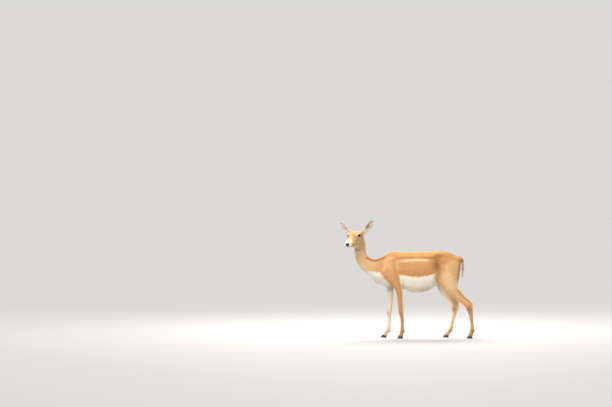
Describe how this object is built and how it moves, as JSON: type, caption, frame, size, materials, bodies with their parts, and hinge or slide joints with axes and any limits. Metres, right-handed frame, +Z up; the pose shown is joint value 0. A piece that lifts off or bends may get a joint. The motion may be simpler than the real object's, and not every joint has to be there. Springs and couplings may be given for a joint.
{
  "type": "blackbuck doe",
  "caption": "Still, life-size blackbuck doe, hornless, standing with its head turned to its left and looking out past the shoulder.",
  "frame": {"origin": "on the floor, under the middle of the whole box", "axes": "the trunk lies along X with the chest towards -X; +Z is up; the animal's left side is at -Y, and its head turns that way"},
  "size_m": [1.1178, 0.3342, 0.9864],
  "materials": {
    "coat": "short sleek hair, golden fawn above, white below",
    "ear": "thin short hair, fawn behind and cream inside",
    "horn": "satin black keratin",
    "eye": "wet, near black brown"
  },
  "bodies": {
    "root": {"dewclaw_front_left_inner": "horn", "dewclaw_front_left_outer": "horn", "dewclaw_front_right_inner": "horn", "dewclaw_front_right_outer": "horn", "dewclaw_hind_left_inner": "horn", "dewclaw_hind_left_outer": "horn", "dewclaw_hind_right_inner": "horn", "dewclaw_hind_right_outer": "horn", "ear_left": "ear", "ear_right": "ear", "eye_left": "eye", "eye_right": "eye", "foreleg_left_lower": "coat", "foreleg_left_upper": "coat", "foreleg_right_lower": "coat", "foreleg_right_upper": "coat", "head": "coat", "hindleg_left_lower": "coat", "hindleg_left_upper": "coat", "hindleg_right_lower": "coat", "hindleg_right_upper": "coat", "hoof_front_left_inner": "horn", "hoof_front_left_outer": "horn", "hoof_front_right_inner": "horn", "hoof_front_right_outer": "horn", "hoof_hind_left_inner": "horn", "hoof_hind_left_outer": "horn", "hoof_hind_right_inner": "horn", "hoof_hind_right_outer": "horn", "neck": "coat", "tail": "coat", "torso": "coat"}
  },
  "joints": []
}
